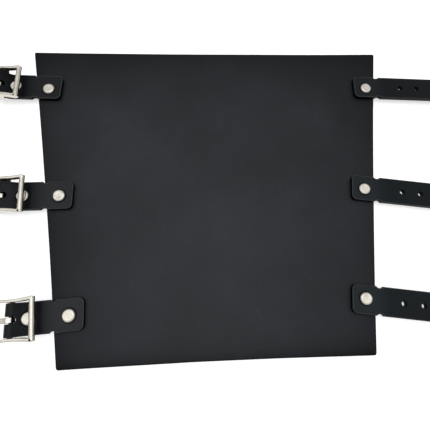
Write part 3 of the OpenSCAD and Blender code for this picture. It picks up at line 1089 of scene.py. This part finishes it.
class BRACER_OT_tip_straps(BracerMake, bpy.types.Operator):
    """Cut the three tip straps, with their tabs, notches, punched holes and points"""

    bl_idname = "bracer.tip_straps"
    bl_label = "Tip Straps"

    def execute(self, context):
        s, metal = self.leather, self.metal
        width, half = s.tip_strap_width, s.thickness / 2
        for number, row in enumerate(ROWS):
            place, rivet, length = strap_place(row, "tip")
            low, high = (corner.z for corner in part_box(f"{row}_tip_strap"))
            radius = s.point_radius
            start = length - math.sqrt(width * radius - width * width / 4)
            lean = math.acos((radius - width / 2) / radius)
            centre = (start, radius - width / 2)
            point = arc(centre, radius, -QUARTER, lean - QUARTER, 0.6 * MM)
            blunt = 0.15 * MM
            point[-1] = (point[-1][0] - blunt, 0.0)
            outer = strap_outline(width, point)
            holes = [circle(rivet, metal.post_size / 2 + HOLE_GAP)]
            for k in range(s.hole_count):
                spot = (s.first_holes[number] + k * s.hole_pitch, 0.0)
                holes.append(circle(spot, s.hole_size / 2))
            grid = lattice(-s.tab_length, length, -width / 2, width / 2, 1.9 * MM, 1.7 * MM)
            grid = clear_of(grid, [rivet], 6.4 * MM) + rivet_rings(rivet)
            middle = (low + high) / 2

            def shape(x, y, height):
                if height > 0:
                    height -= dip(x, y, [rivet])
                return place @ Vector((x, y, middle + height))

            # painted shade: less colour and sheen toward the elbow row, and further out along the
            # strap from its rivet
            dim = elbow_fade(place.translation.y, 0.27)

            def wax(x, y):
                return dim * (1 - 0.34 * smooth(4 * MM, 18 * MM, x))

            name, taper = f"{row}_tip_strap_leather", 0.5 * MM
            materials = leathers("tip")
            piece = slab(
                name, outer, holes, grid, half, s.edge_round, shape, materials, wax, taper
            )
            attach(piece, f"{row}_tip_strap")
            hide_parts(f"{row}_tip_strap")
        return {"FINISHED"}


class Fold:
    """The middle line of a buckle strap seen from its side, as lines and arcs.
    Lengths along it are counted from the panel rivet."""

    def __init__(self, start, top, low, crease, bar, radius, thin, end):
        self.parts = []
        self.length = start
        self.spot, self.turn = Vector((start, top)), 0.0
        run, climb = bar.x - crease, bar.y - top
        lean = math.atan2(climb, run) + math.asin(radius / math.hypot(run, climb))
        bend = 2.6 * MM
        self.go(crease - start - bend * math.tan(lean / 2))
        self.full_to = self.length
        self.swing(bend, lean)
        touch = bar + radius * Vector((-math.sin(lean), math.cos(lean)))
        self.go((touch - self.spot).length)
        self.thin_from, self.thin = self.length, thin
        run, sink = bar.x - crease, bar.y - low
        tilt = math.atan2(sink, run) - math.asin(radius / math.hypot(run, sink))
        self.swing(-radius, math.pi + lean - tilt)
        self.thin_to = self.length
        back = Vector((crease, low)) - self.spot
        self.go(back.length - bend * math.tan(abs(tilt) / 2))
        self.swing(bend if tilt < 0 else -bend, tilt)
        self.full_from = self.length
        self.go(self.spot.x - end)

    def share(self, s):
        """How much of the leather's thickness is left at a length along the strap."""
        if s < self.thin_from:
            t = (s - self.full_to) / (self.thin_from - self.full_to)
        else:
            t = (self.full_from - s) / (self.full_from - self.thin_to)
        return 1 + (self.thin - 1) * smooth(0.0, 1.0, t)

    def go(self, length):
        """Adds a straight run."""
        way = Vector((math.cos(self.turn), math.sin(self.turn)))
        self.parts.append((self.length, self.length + length, self.spot.copy(), self.turn, 0.0))
        self.spot = self.spot + way * length
        self.length += length

    def swing(self, radius, angle):
        """Adds an arc: a left turn has a positive radius and a right turn a negative one."""
        length = abs(radius * angle)
        self.parts.append((self.length, self.length + length, self.spot.copy(), self.turn, radius))
        centre = self.spot + Vector((-math.sin(self.turn), math.cos(self.turn))) * radius
        self.turn += length / radius
        self.spot = centre - Vector((-math.sin(self.turn), math.cos(self.turn))) * radius
        self.length += length

    def at(self, s):
        """The place and the direction at a length along the strap."""
        part = next((p for p in self.parts if s <= p[1]), self.parts[-1])
        begin, _, spot, turn, radius = part
        if radius == 0.0:
            return spot + Vector((math.cos(turn), math.sin(turn))) * (s - begin), turn
        now = turn + (s - begin) / radius
        centre = spot + Vector((-math.sin(turn), math.cos(turn))) * radius
        return centre - Vector((-math.sin(now), math.cos(now))) * radius, now

    def find(self, x, flap):
        """The length at which the strap, or the flap under it, passes a place."""
        turned = [p for p in self.parts if p[4] < 0][0]
        a, b = (turned[1], self.length) if flap else (self.parts[0][0], turned[0])
        for _ in range(50):
            m = (a + b) / 2
            before = self.at(m)[0].x < x
            if before != flap:
                a = m
            else:
                b = m
        return (a + b) / 2


class BRACER_OT_buckle_straps(BracerMake, bpy.types.Operator):
    """Cut the three buckle straps and fold each round its centre bar, with the prong's slot"""

    bl_idname = "bracer.buckle_straps"
    bl_label = "Buckle Straps"

    def execute(self, context):
        s, metal = self.leather, self.metal
        width, thick = s.buckle_strap_width, s.thickness
        half = thick / 2
        for row in ROWS:
            place, rivet, bar_x = strap_place(row, "buckle")
            bar_z = JOINTS[f"{row}_buckle_frame_hinge"]["pos_m"][2]
            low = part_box(f"{row}_buckle_strap")[0].z
            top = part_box("panel")[1].z + LAP_GAP + half
            eye = metal.bar_size / 2 + RUN_GAP
            fold = Fold(
                -s.tab_length,
                top,
                low + half,
                s.fold_rivet_at + s.crease_length - 0.45 * MM,
                Vector((bar_x, bar_z)),
                eye + s.fold_thickness / 2,
                s.fold_thickness / thick,
                s.fold_rivet_at - s.flap_length,
            )
            end = fold.length
            corner = 3.0 * MM
            # the flap is trimmed narrower than the strap that hides it
            flap = width / 2 - 2.9 * MM
            trim, trimmed = fold.thin_to + 0.5 * MM, fold.thin_to + 5.5 * MM
            end_side = join(
                [(trim, -width / 2)],
                line((trim, -width / 2), (trimmed, -flap), 0.8 * MM),
                line((trimmed, -flap), (end - corner, -flap), 1.2 * MM),
                arc((end - corner, -flap + corner), corner, -QUARTER, 0.0, 0.4 * MM),
            )
            outer = strap_outline(width, end_side)
            fold_rivets = [(s.fold_rivet_at, 0.0), (fold.find(s.fold_rivet_at, True), 0.0)]
            r = s.slot_width / 2
            slot_a = fold.find(bar_x - s.slot_back, False) + r
            slot_b = fold.find(bar_x - s.slot_back, True) - r
            slot = join(
                arc((slot_a, 0.0), r, 3 * QUARTER, QUARTER, 0.3 * MM),
                line((slot_a, r), (slot_b, r), 0.5 * MM),
                arc((slot_b, 0.0), r, QUARTER, -QUARTER, 0.3 * MM),
                line((slot_b, -r), (slot_a, -r), 0.5 * MM),
            )
            rivets = [rivet] + fold_rivets
            holes = [circle(p, metal.post_size / 2 + HOLE_GAP) for p in rivets] + [slot]
            bend_a, bend_b = fold.full_to - 0.6 * MM, fold.full_from + 0.6 * MM
            side, step = width / 2, (1.8 * MM, 1.7 * MM)
            grid = lattice(-s.tab_length, bend_a - 0.8 * MM, -side, side, *step)
            grid += lattice(bend_a, bend_b, -side, side, 0.42 * MM, 1.6 * MM)
            grid += lattice(bend_b + 0.8 * MM, end, -side, side, *step)
            # the bend's own points come closer to the rivets
            grid = [
                p
                for p in clear_of(grid, rivets, 5.6 * MM)
                if bend_a < p[0] < bend_b or clear_of([p], rivets, 6.4 * MM)
            ]
            for p in rivets:
                grid += [q for q in rivet_rings(p) if clear_of([q], rivets, math.dist(q, p) - 1e-9)]

            def shape(x, y, height):
                height *= fold.share(x)
                if height > 0:
                    height -= dip(x, y, rivets)
                spot, turn = fold.at(x)
                return place @ Vector(
                    (spot.x - math.sin(turn) * height, y, spot.y + math.cos(turn) * height)
                )

            # painted shade: less colour and sheen toward the elbow row and from the tab toward the
            # keeper bar, where the keeper's shadow and the climbing fold lie; the fold's top is
            # given a little back
            dim = elbow_fade(place.translation.y, 0.40)

            def wax(x, y):
                shade = 0.52 * smooth(6 * MM, 22 * MM, x) - 0.15 * smooth(26 * MM, 33 * MM, x)
                return dim * (1 - shade)

            name, materials = f"{row}_buckle_strap_leather", leathers("buckle")
            piece = slab(name, outer, holes, grid, half, s.edge_round, shape, materials, wax)
            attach(piece, f"{row}_buckle_strap")
            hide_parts(f"{row}_buckle_strap")
        return {"FINISHED"}


class BRACER_OT_rivets(BracerMake, bpy.types.Operator):
    """Set the nine double-cap rivets, each a pressed cap on a post with its back cap"""

    bl_idname = "bracer.rivets"
    bl_label = "Rivets"

    def execute(self, context):
        m = self.metal
        r, h = m.cap_size / 2, m.cap_height
        # a cap's radii and heights, as shares of its own, from its middle to its underside
        cap = [
            (0.0, 0.90), (0.2, 0.90), (0.4, 0.905), (0.52, 0.925), (0.62, 0.95), (0.70, 0.955),
            (0.78, 0.915), (0.85, 0.82), (0.91, 0.68), (0.955, 0.52), (0.985, 0.36),
            (1.0, 0.2), (0.99, 0.08), (0.95, 0.0), (0.6, 0.0),
        ]
        bright = nickel("nickel_cap", rough=0.2)
        dull = nickel("nickel_post", rough=0.30, dull=0.06)
        names = [
            (f"{row}_{kind}_rivet", "panel" if kind != "fold" else f"{row}_buckle_strap")
            for row in ROWS
            for kind in ("buckle_side", "tip_side", "fold")
        ]
        for number, (name, body) in enumerate(names):
            low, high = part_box(f"{name}_cap")
            place = Matrix.Translation(((low.x + high.x) / 2, (low.y + high.y) / 2, low.z))
            profile = [(a * r, b * h) for a, b in cap]
            piece = spun(
                f"{name}_cap_nickel", profile, 56, [bright], place, unrest=0.09 * MM, seed=number
            )
            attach(piece, body)
            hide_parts(f"{name}_cap")
            low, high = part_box(f"{name}_post")
            seat = low.z + h
            centre = Matrix.Translation(((low.x + high.x) / 2, (low.y + high.y) / 2, 0))
            post = m.post_size / 2
            top, chamfer = high.z - 0.3 * MM, high.z - 0.6 * MM
            profile = [(0.0, top), (post * 0.8, top), (post, chamfer), (post, seat)]
            profile += [(0.94 * r, seat)]
            profile += [(a * r, seat - b * h) for a, b in reversed(cap[:-2])]
            seed = number + 20
            piece = spun(
                f"{name}_post_nickel", profile, 48, [dull], centre, unrest=0.03 * MM, seed=seed
            )
            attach(piece, body)
            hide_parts(f"{name}_post")
        return {"FINISHED"}


class BRACER_OT_buckle_frames(BracerMake, bpy.types.Operator):
    """Cast the three buckle frames, each with two waisted cheeks, two end bars and a centre bar"""

    bl_idname = "bracer.buckle_frames"
    bl_label = "Buckle Frames"

    def cheek(self, side):
        """One cheek, as a slab whose pattern is its side view."""
        m = self.metal
        rise, tall, reach = m.end_bar_rise, m.cheek_height, m.reach
        low, foot = -m.bar_size / 2 - 0.6 * MM, rise - tall / 2
        deep = foot - low
        lug = (m.lug_length**2 + deep**2) / (2 * deep)
        fillet = 1.2 * MM
        drop = foot - fillet - (low + lug)
        gap = math.sqrt((lug + fillet) ** 2 - drop**2)
        meet = math.atan2(drop, gap)
        outer = join(
            arc((-reach, rise), tall / 2, QUARTER, 3 * QUARTER, 0.3 * MM),
            line((-reach, foot), (-gap, foot), 0.8 * MM),
            arc((-gap, foot - fillet), fillet, QUARTER, -meet, 0.3 * MM),
            arc((0.0, low + lug), lug, math.pi - meet, 2 * math.pi + meet, 0.35 * MM),
            arc((gap, foot - fillet), fillet, math.pi + meet, QUARTER, 0.3 * MM),
            line((gap, foot), (reach, foot), 0.8 * MM),
            arc((reach, rise), tall / 2, -QUARTER, QUARTER, 0.3 * MM),
            line((reach, rise + tall / 2), (-reach, rise + tall / 2), 0.8 * MM),
        )
        ends = reach + tall / 2
        waist = (m.end_width - m.waist_width) / 2

        def width_at(x):
            wide = m.waist_width / 2 + waist * (min(abs(x), ends) / ends) ** 2
            past = abs(x) - (ends - m.corner_radius)
            if past > 0:
                wide -= m.corner_radius - math.sqrt(max(m.corner_radius**2 - past**2, 0.0))
            return wide

        half = m.cheek_thickness / 2

        def shape(x, z, height):
            y = max(width_at(x) - half + height, m.window_width / 2 + 0.02 * MM)
            return Vector((x, side * y, z))

        grid = lattice(-reach, reach, low, rise + tall / 2, 1.2 * MM, 1.0 * MM)
        return slab("cheek", outer, [], grid, half, 0.7 * MM, shape, [])

    def bar(self, x, z, radius, end, flare):
        """A bar across the frame that widens a little where it runs into each cheek."""
        profile = [(0.0, end), (radius * 0.7, end), (radius, end - 0.3 * MM)]
        steps = 8
        for k in range(steps + 1):
            t = k / steps
            swell = flare * (1 - t) ** 2
            profile.append((radius + swell, end - (0.4 + 3.2 * t) * MM))
        profile += [(radius, end * f) for f in (0.6, 0.4, 0.2, 0.0)]
        profile += [(r, -y) for r, y in reversed(profile[:-1])]
        across = Matrix.Rotation(QUARTER, 4, "X")
        piece = spun("bar", profile, 40, [], across, unrest=0.03 * MM, seed=x * 900)
        inward = 0.0 if abs(x) < 1 * MM else -math.copysign(0.6, x)
        for v in piece.data.vertices:
            grown = max(0.0, math.hypot(v.co.x, v.co.z) - radius)
            v.co.z *= radius / (radius + grown)
            v.co.x += x + inward * grown
            v.co.z += z
        return piece

    def execute(self, context):
        m = self.metal
        # half lengths of the bars, whose ends stay inside the cheeks
        waist, wide = m.waist_width / 2 - 0.5 * MM, m.end_width / 2 - 0.55 * MM
        parts = [self.cheek(1), self.cheek(-1), self.bar(0.0, 0.0, m.bar_size / 2, waist, 0.0)]
        for x in (-m.reach, m.reach):
            parts.append(self.bar(x, m.end_bar_rise, m.end_bar_size / 2, wide, 0.5 * MM))
        mesh = melted(parts, voxel=0.17 * MM, rounds=3, keep=0.45)
        lean = -math.tan(m.skew)
        for v in mesh.vertices:
            v.co.x += v.co.y * lean * min(1.0, abs(v.co.x) / m.reach) ** 2
        pit = Vector((-m.reach - 0.1 * MM, m.end_width / 2 - 1.5 * MM))
        pit_size, pit_depth = 0.75 * MM, 0.8 * MM
        for v in mesh.vertices:
            away = (v.co.xy - pit).length / pit_size
            if away < 1 and v.co.z > m.end_bar_rise:
                v.co.z -= pit_depth * (1 - away * away)

        def shade_at(p):
            """Painted shade in the casting pit and on the centre bar within the window."""
            share = 0.0
            if p.z > m.end_bar_rise - 0.6 * MM:
                share = (0.95 - (p.xy - pit).length / pit_size) * 4
            if abs(p.y) < m.window_width / 2:
                share = max(share, 1.6 - math.hypot(p.x, p.z) / m.bar_size)
            return share

        painted_shade(mesh, shade_at)
        cast = nickel("nickel_cast", rough=0.17, shaded=True)
        for row in ROWS:
            piece = placed(f"{row}_buckle_frame_nickel", mesh, bar_place(row), cast)
            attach(piece, f"{row}_buckle_frame")
            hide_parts(f"{row}_buckle_frame")
        return {"FINISHED"}


class BRACER_OT_prongs(BracerMake, bpy.types.Operator):
    """Bend the three prongs, each looped round its centre bar and resting on the outer bar"""

    bl_idname = "bracer.prongs"
    bl_label = "Prongs"

    def execute(self, context):
        m = self.metal
        eye, wall, thick = m.bar_size / 2 + RUN_GAP, m.loop_wall, m.prong_thickness
        ring, loop_r = eye + wall / 2, eye + wall
        path, widths, thicks = [], [], []
        steps = 34
        first, last = math.radians(-30), math.radians(-262)
        for k in range(steps):
            a = first + (last - first) * k / (steps - 1)
            path.append((ring * math.cos(a), ring * math.sin(a)))
            widths.append(m.prong_width - 0.5 * MM * max(0.0, 1 - k / 5))
            thicks.append(wall * (1 - 0.5 * max(0.0, 1 - k / 4)))
        root = Vector((0.0, loop_r - thick / 2))
        rest = Vector((m.reach, m.end_bar_rise + m.end_bar_size / 2 + REST_GAP + thick / 2))
        chord = rest - root
        bow = 0.7 * MM
        radius = (chord.length**2 / 4 + bow**2) / (2 * bow)
        lean = math.atan2(chord.y, chord.x)
        c, s = math.cos(lean), math.sin(lean)
        # the shank leaves the loop's top and ends past the outer bar
        start, tip = 1.4 * MM, chord.length + 1.7 * MM - thick * 0.3
        shank = 24
        for k in range(1, shank + 1):
            x = start + (tip - start) * k / shank
            y = math.sqrt(radius**2 - (x - chord.length / 2) ** 2) + bow - radius
            path.append((root.x + x * c - y * s, root.y + x * s + y * c))
            share = k / shank
            widths.append(m.prong_width + (m.prong_tip_width - m.prong_width) * share)
            thicks.append(wall + (thick - wall) * min(1.0, share * 4) - 0.2 * MM * share)
        last_wide, last_thick = widths[-1], thicks[-1]
        for shrink in (0.86, 0.62, 0.25):
            a, b = Vector(path[-2]), Vector(path[-1])
            path.append(tuple(b + (b - a).normalized() * 0.24 * MM))
            widths.append(last_wide * shrink)
            thicks.append(last_thick * shrink)
        vertices, faces = swept(path, widths, thicks, around=24)
        piece = new_piece("prong", vertices, faces, [])
        mesh = melted([piece], voxel=0.12 * MM, rounds=3, keep=0.4)

        def shade_at(p):
            """Painted shade on the back of the loop, where it sits in the strap's slot, with a
            round front edge.
            """
            return (-p.x - 0.55 * MM - 90 * p.y * p.y) / (0.5 * MM) if p.z < 3 * MM else 0.0

        painted_shade(mesh, shade_at)
        cast = nickel("nickel_cast", rough=0.17, shaded=True)
        for row in ROWS:
            piece = placed(f"{row}_buckle_prong_nickel", mesh, bar_place(row), cast)
            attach(piece, f"{row}_buckle_prong")
            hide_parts(f"{row}_buckle_prong")
        return {"FINISHED"}


class BRACER_OT_stage(BracerMake, bpy.types.Operator):
    """Lay the floor, hang the soft lights and set the camera"""

    bl_idname = "bracer.stage"
    bl_label = "Stage"

    def floor(self, stage):
        """A pale floor that keeps the object's shadow and looks white around it."""
        material, tree, shader = blank("floor")
        fleck = noisy(tree, (-700, 0), object_coords(tree, (-900, 0)), 12.0, 3.0)["Fac"]
        pale = tuple(stage.floor_colour)
        seen = node(tree, "ShaderNodeLightPath", (-450, -400)).outputs
        mirrored, through = seen["Is Glossy Ray"], seen["Is Transmission Ray"]
        other = math_node(tree, (-350, -550), "MAXIMUM", mirrored, through)
        show = math_node(tree, (-200, -400), "MAXIMUM", seen["Is Camera Ray"], other)
        inputs = {
            "Base Color": ramp(tree, (-450, 0), fleck, [(0.3, times(pale, 0.985)), (0.7, pale)]),
            "Roughness": 0.9,
            "Specular IOR Level": 0.1,
            "Emission Color": (1.0, 1.0, 1.0, 1.0),
            "Emission Strength": math_node(tree, (0, -400), "MULTIPLY", show, 0.6),
        }
        feed(tree, shader, inputs)
        low, size = CAD_BOX[0][2], 3.0
        corners = [(x * size, y * size, low) for x, y in ((-1, -1), (1, -1), (1, 1), (-1, 1))]
        piece = new_piece("floor", corners, [(0, 1, 2, 3)], [material])

    def sky(self, scene, strength):
        """A soft sky that is white to the camera, and darker low down in metal's reflections."""
        scene.world = world = bpy.data.worlds.new("soft_sky")
        world.use_nodes = True
        tree = world.node_tree
        tree.nodes.clear()
        seen = node(tree, "ShaderNodeLightPath", (-600, 200)).outputs
        ways = node(tree, "ShaderNodeTexCoord", (-900, -200)).outputs["Generated"]
        rise = node(tree, "ShaderNodeSeparateXYZ", (-700, -200), {0: ways}).outputs["Z"]

        def greys(at, stops):
            return ramp(tree, at, rise, [(place, (grey,) * 3) for place, grey in stops])

        stops = ((0.0, 0.22), (0.45, 0.26), (0.72, 0.50), (0.88, 0.86), (1.0, 1.0))
        dome = greys((-500, -250), stops)
        inputs = {"Color": dome, "Strength": strength}
        even = node(tree, "ShaderNodeBackground", (-100, 100), inputs)
        inputs = {"Color": (1.0, 1.0, 1.0, 1.0), "Strength": 1.0}
        white = node(tree, "ShaderNodeBackground", (-100, -50), inputs)
        high = greys((-500, -500), ((0.0, 0.2), (0.5, 0.33), (0.74, 0.8), (0.95, 1.0)))
        glossy = math_node(tree, (-450, 50), "MULTIPLY", seen["Is Glossy Ray"], high)
        through = seen["Is Transmission Ray"]
        direct = math_node(tree, (-450, 200), "MAXIMUM", seen["Is Camera Ray"], through)
        share = math_node(tree, (-250, 200), "MAXIMUM", direct, glossy)
        inputs = {0: share, 1: even.outputs[0], 2: white.outputs[0]}
        blend = node(tree, "ShaderNodeMixShader", (150, 100), inputs)
        node(tree, "ShaderNodeOutputWorld", (350, 100), {0: blend.outputs[0]})

    def execute(self, context):
        scene = context.scene
        stage = scene.bracer_stage
        self.floor(stage)
        self.sky(scene, stage.sky)
        for name, power, size, spot in (
            ("soft_box", stage.soft_box, (1.3, 0.55), (-0.06, 0.05, 0.9)),
            ("strip_light", stage.strip_light, (0.1, 0.8), (0.0, 0.1, 0.88)),
        ):
            lamp = bpy.data.lights.new(name, "AREA")
            lamp.shape = "RECTANGLE"
            lamp.size, lamp.size_y = size
            lamp.energy = power
            held = bpy.data.objects.new(name, lamp)
            held.location = spot
            scene.collection.objects.link(held)
        eye = bpy.data.cameras.new("photo_camera")
        eye.lens = stage.lens
        eye.sensor_width = 36.0
        eye.clip_start = 0.005
        held = bpy.data.objects.new("photo_camera", eye)
        # fitted to the photograph: the panel's corners, the rivets and the straps' edges
        azimuth, elevation, roll = (math.radians(a) for a in (-11.336, 73.897, 9.643))
        flat = math.cos(elevation)
        away = Vector((math.sin(azimuth) * flat, -math.cos(azimuth) * flat, math.sin(elevation)))
        right = (-away).cross(Vector((0, 0, 1))).normalized()
        up = right.cross(-away)
        c, s = math.cos(roll), math.sin(roll)
        right, up = right * c + up * s, up * c - right * s
        aim, distance = Vector((0.03, -19.68, 0.0)) * MM, 215.835
        spot = aim + away * distance * MM
        turned = Matrix((right, up, away)).transposed().to_4x4()
        held.matrix_world = Matrix.Translation(spot) @ turned
        scene.collection.objects.link(held)
        scene.camera = held
        scene.view_settings.view_transform = "Standard"
        return {"FINISHED"}


class BRACER_PT_tools(bpy.types.Panel):
    """The bracer's makers and their sizes"""

    bl_idname = "BRACER_PT_tools"
    bl_label = "Leather Bracer"
    bl_space_type = "VIEW_3D"
    bl_region_type = "UI"
    bl_category = "Bracer"

    def draw(self, context):
        for settings in ("bracer_leather", "bracer_metal", "bracer_stage"):
            box = self.layout.box()
            held = getattr(context.scene, settings)
            for name in held.bl_rna.properties.keys():
                if name not in ("rna_type", "name"):
                    box.prop(held, name)
        for maker in MAKERS:
            self.layout.operator(maker.bl_idname)


MAKERS = (
    BRACER_OT_panel,
    BRACER_OT_tip_straps,
    BRACER_OT_buckle_straps,
    BRACER_OT_rivets,
    BRACER_OT_buckle_frames,
    BRACER_OT_prongs,
    BRACER_OT_stage,
)
SETTINGS = (
    ("bracer_leather", BracerLeather),
    ("bracer_metal", BracerMetal),
    ("bracer_stage", BracerStage),
)


def register():
    for name, kind in SETTINGS:
        bpy.utils.register_class(kind)
        setattr(bpy.types.Scene, name, PointerProperty(type=kind))
    for kind in MAKERS:
        bpy.utils.register_class(kind)
    bpy.utils.register_class(BRACER_PT_tools)


def unregister():
    bpy.utils.unregister_class(BRACER_PT_tools)
    for kind in reversed(MAKERS):
        bpy.utils.unregister_class(kind)
    for name, kind in reversed(SETTINGS):
        delattr(bpy.types.Scene, name)
        bpy.utils.unregister_class(kind)


def main():
    register()
    bpy.ops.bracer.panel()
    bpy.ops.bracer.tip_straps()
    bpy.ops.bracer.buckle_straps()
    bpy.ops.bracer.rivets()
    bpy.ops.bracer.buckle_frames()
    bpy.ops.bracer.prongs()
    bpy.ops.bracer.stage()


if __name__ == "__main__":
    main()
